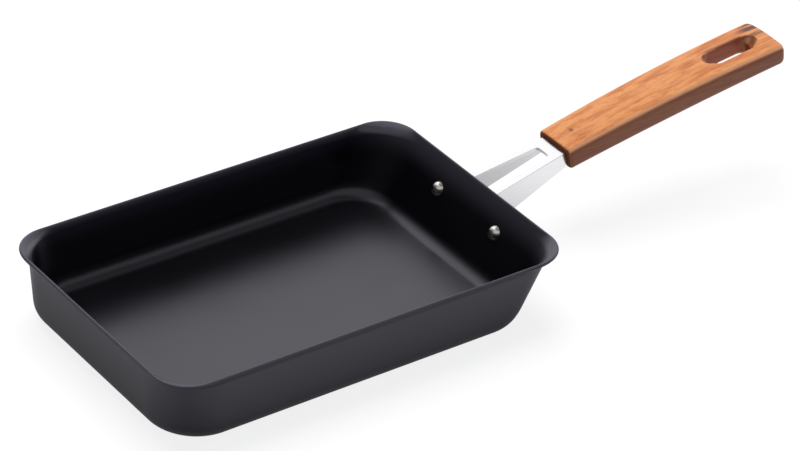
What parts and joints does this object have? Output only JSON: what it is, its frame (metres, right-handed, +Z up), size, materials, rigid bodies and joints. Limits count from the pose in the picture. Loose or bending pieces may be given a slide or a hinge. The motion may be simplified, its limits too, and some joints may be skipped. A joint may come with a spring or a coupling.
{
  "type": "tamagoyaki pan",
  "caption": "Rectangular rolled-omelette pan with a flared rim, a forked steel bracket riveted to one short wall, and a bowed wooden grip with a hanging slot.",
  "frame": {"origin": "on the pan's flat underside, below the middle of the rectangle that the rim makes", "axes": "+X along the long side towards the handle, +Y across the pan, +Z up out of the pan's mouth; the part is the same on both sides of Y = 0"},
  "size_m": [0.3232, 0.12, 0.0546],
  "materials": {
    "pan_coating": "matt dark non-stick coating",
    "bracket_steel": "bright satin stainless steel",
    "rivet_steel": "polished steel",
    "grip_wood": "oiled orange-brown hardwood",
    "screw_steel": "plain bright steel"
  },
  "bodies": {
    "root": {"pan_body": "pan_coating", "handle_bracket": "bracket_steel", "rivet_left": "rivet_steel", "rivet_right": "rivet_steel", "grip": "grip_wood", "screw_front": "screw_steel", "screw_rear": "screw_steel"}
  },
  "joints": []
}
